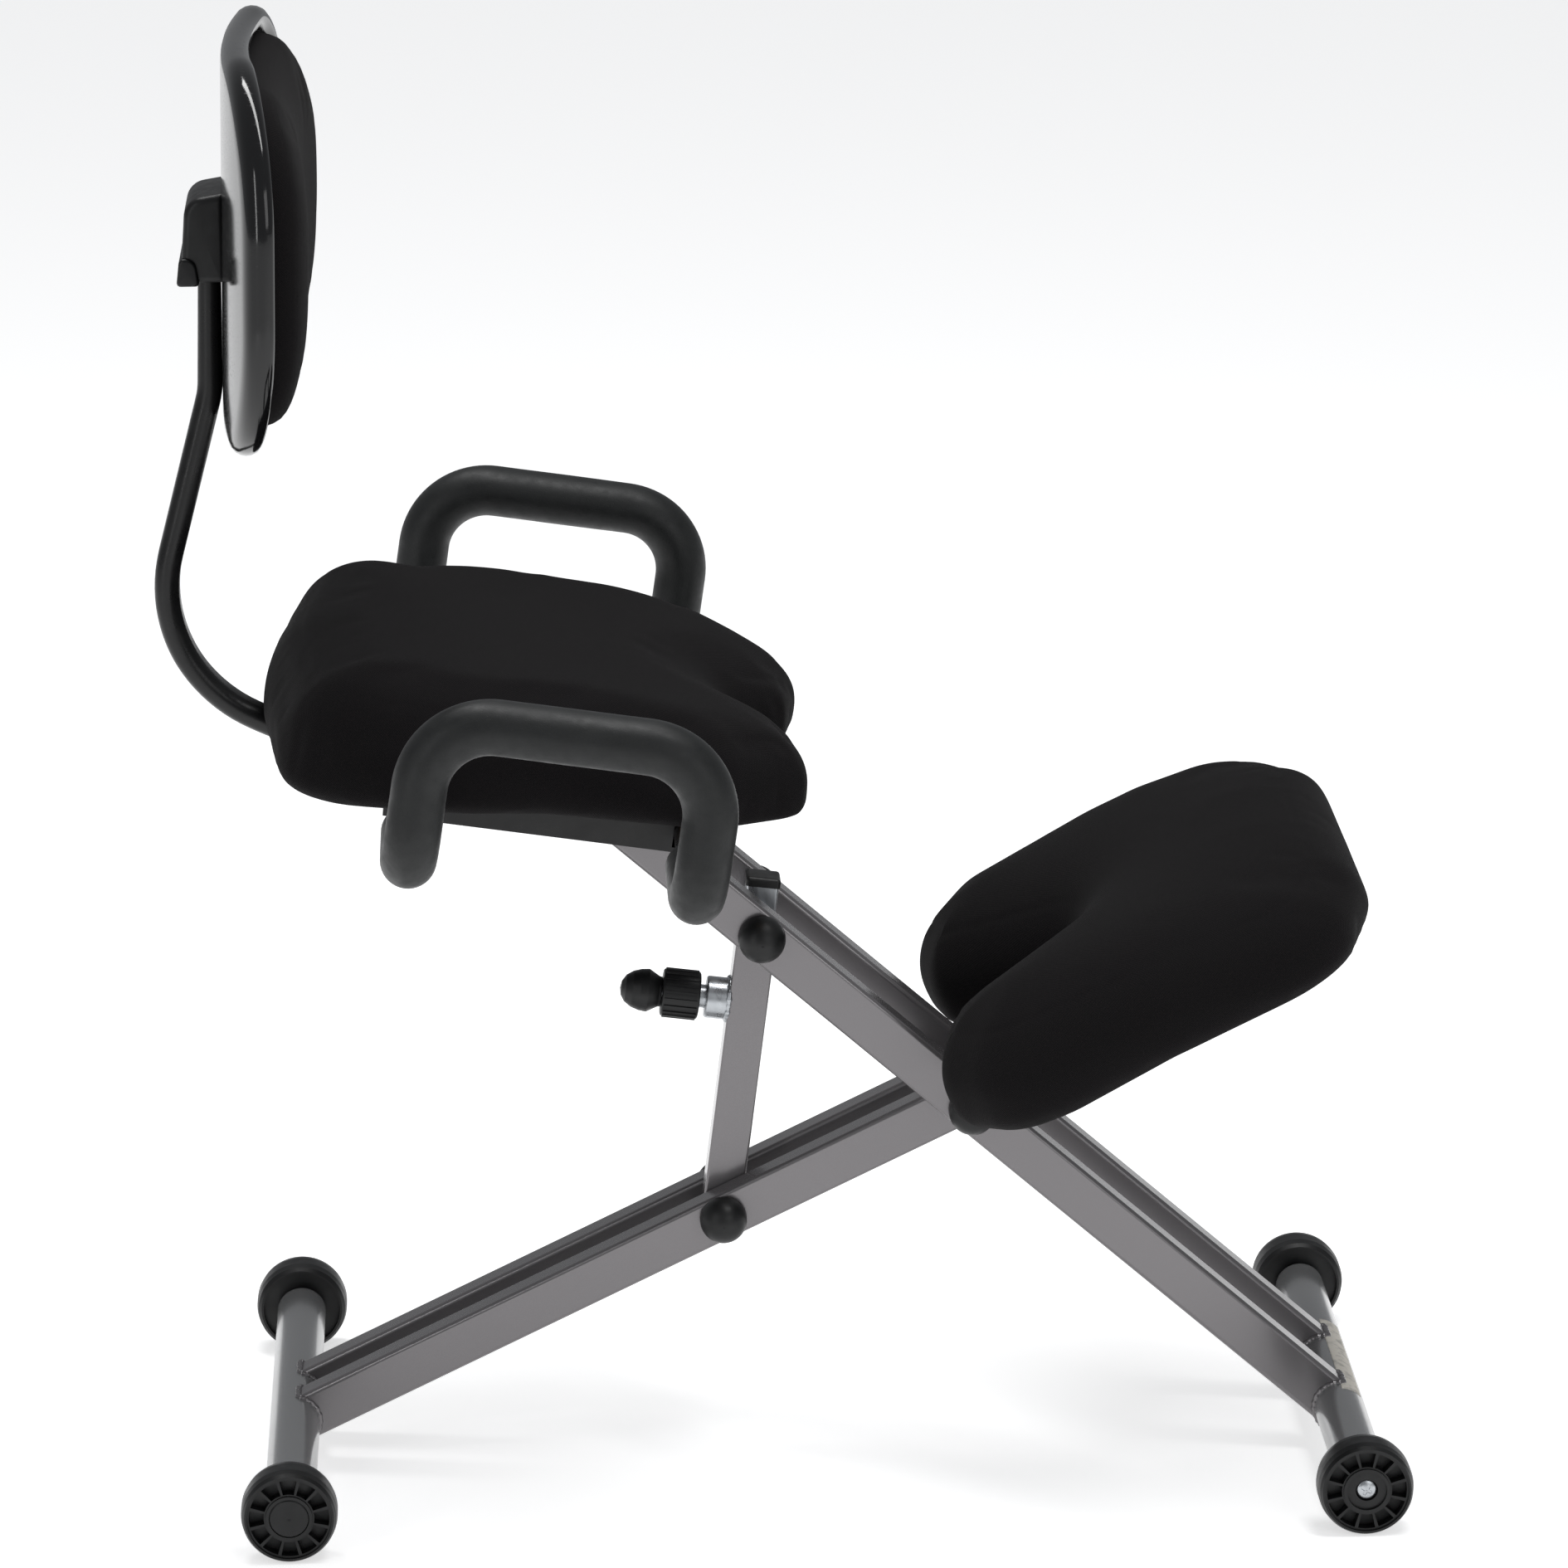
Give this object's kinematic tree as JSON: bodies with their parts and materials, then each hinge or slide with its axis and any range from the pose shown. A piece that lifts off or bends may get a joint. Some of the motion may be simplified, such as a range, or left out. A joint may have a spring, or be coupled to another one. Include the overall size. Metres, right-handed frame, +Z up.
{
  "type": "kneeling chair",
  "caption": "Kneeling chair on small rollers with a folding crossed frame, padded seat and knee rest, backrest on a curved bar and foam-covered side handles.",
  "frame": {"origin": "on the floor, under the middle of the bounding box", "axes": "+X to the front, where the knees rest; +Y to the sitter's left; +Z up"},
  "size_m": [0.771, 0.637, 0.926],
  "materials": {
    "frame_paint": "satin grey powder coat",
    "bar_paint": "satin grey powder coat",
    "black_steel": "satin black paint",
    "zinc": "zinc plated",
    "black_plastic": "satin",
    "gloss_black": "gloss",
    "chrome_tube": "black paint",
    "foam": "matt closed-cell foam",
    "cloth": "plain woven upholstery",
    "plywood": "raw plywood"
  },
  "bodies": {
    "knee_leg": {"rear_foot_bar": "bar_paint", "rear_end_plugs": "black_plastic", "rear_axle_screws": "zinc", "knee_beam_left": "frame_paint", "knee_beam_right": "frame_paint", "knee_beam_plugs": "black_plastic", "main_pivot_bolt": "zinc", "main_pivot_caps": "black_plastic", "main_pivot_spacer": "zinc", "main_pivot_washers": "zinc", "lower_pivot_bolt": "zinc", "lower_pivot_caps": "black_plastic", "knee_plate": "black_steel", "knee_clamp": "black_steel", "knee_bolts": "zinc", "knee_board": "plywood", "knee_cushion": "cloth"},
    "seat_leg": {"front_foot_bar": "bar_paint", "front_end_plugs": "black_plastic", "front_axle_screws": "zinc", "seat_beam_left": "frame_paint", "seat_beam_right": "frame_paint", "upper_pivot_bolt": "zinc", "upper_pivot_caps": "black_plastic", "upper_pivot_spacers": "zinc", "seat_tray": "black_steel", "seat_bolts": "zinc", "handle_bolts": "zinc", "back_bar_bolts": "zinc", "seat_board": "plywood", "seat_cushion": "cloth", "handle_tube_left": "chrome_tube", "handle_tube_right": "chrome_tube", "handle_foam_left": "foam", "handle_foam_right": "foam", "back_bar": "black_steel"},
    "strut_outer": {"strut_outer_tube": "frame_paint", "pin_boss": "zinc"},
    "strut_inner": {"strut_inner_tube": "zinc", "strut_end_plug": "black_plastic"},
    "pin_collar": {"pin_barrel": "zinc", "pin_grip": "black_plastic", "pin_spring": "zinc"},
    "pull_pin": {"pull_rod": "zinc", "pull_ball": "black_plastic"},
    "rear_left_wheel": {"rear_wheel_left": "black_plastic", "rear_hub_cap_left": "black_plastic"},
    "rear_right_wheel": {"rear_wheel_right": "black_plastic", "rear_hub_cap_right": "black_plastic"},
    "front_left_wheel": {"front_wheel_left": "black_plastic", "front_hub_cap_left": "black_plastic"},
    "front_right_wheel": {"front_wheel_right": "black_plastic"},
    "backrest": {"back_housing": "black_plastic", "back_shell": "gloss_black", "back_pad": "cloth", "back_screws": "zinc"}
  },
  "joints": [
    {"name": "frame_fold", "type": "hinge", "parent": "knee_leg", "child": "seat_leg", "pos_m": [0.12028, 0, 0.23655], "axis": [0, 1, 0], "range_deg": [0, 20]},
    {"name": "strut_swing", "type": "hinge", "parent": "knee_leg", "child": "strut_outer", "pos_m": [-0.038, 0, 0.16072], "axis": [0, 1, 0], "range_deg": [0, 11]},
    {"name": "strut_slide", "type": "slide", "parent": "strut_outer", "child": "strut_inner", "axis": [0.1336, 0, 0.991], "range_m": [0, 0.0485]},
    {"name": "collar_turn", "type": "hinge", "parent": "strut_outer", "child": "pin_collar", "pos_m": [-0.01983, 0, 0.2955], "axis": [-0.991, 0, 0.1336], "range_deg": [0, 180]},
    {"name": "pin_pull", "type": "slide", "parent": "strut_outer", "child": "pull_pin", "axis": [-0.991, 0, 0.1336], "range_m": [0, 0.008], "stiffness_N_per_m": 1200, "springref_m": -0.004},
    {"name": "back_height", "type": "slide", "parent": "seat_leg", "child": "backrest", "axis": [0, 0, 1], "range_m": [0, 0.025]},
    {"name": "rear_left_wheel_spin", "type": "hinge", "parent": "knee_leg", "child": "rear_left_wheel", "pos_m": [-0.315, 0, 0.03], "axis": [0, 1, 0], "continuous": true},
    {"name": "rear_right_wheel_spin", "type": "hinge", "parent": "knee_leg", "child": "rear_right_wheel", "pos_m": [-0.315, 0, 0.03], "axis": [0, 1, 0], "continuous": true},
    {"name": "front_left_wheel_spin", "type": "hinge", "parent": "seat_leg", "child": "front_left_wheel", "pos_m": [0.356, 0, 0.03], "axis": [0, 1, 0], "continuous": true},
    {"name": "front_right_wheel_spin", "type": "hinge", "parent": "seat_leg", "child": "front_right_wheel", "pos_m": [0.356, 0, 0.03], "axis": [0, 1, 0], "continuous": true}
  ],
  "couplings": [
    {"joint": "strut_swing", "follows": "frame_fold", "ratio": 0.504},
    {"joint": "strut_slide", "follows": "frame_fold", "m_per_rad": 0.1381}
  ]
}
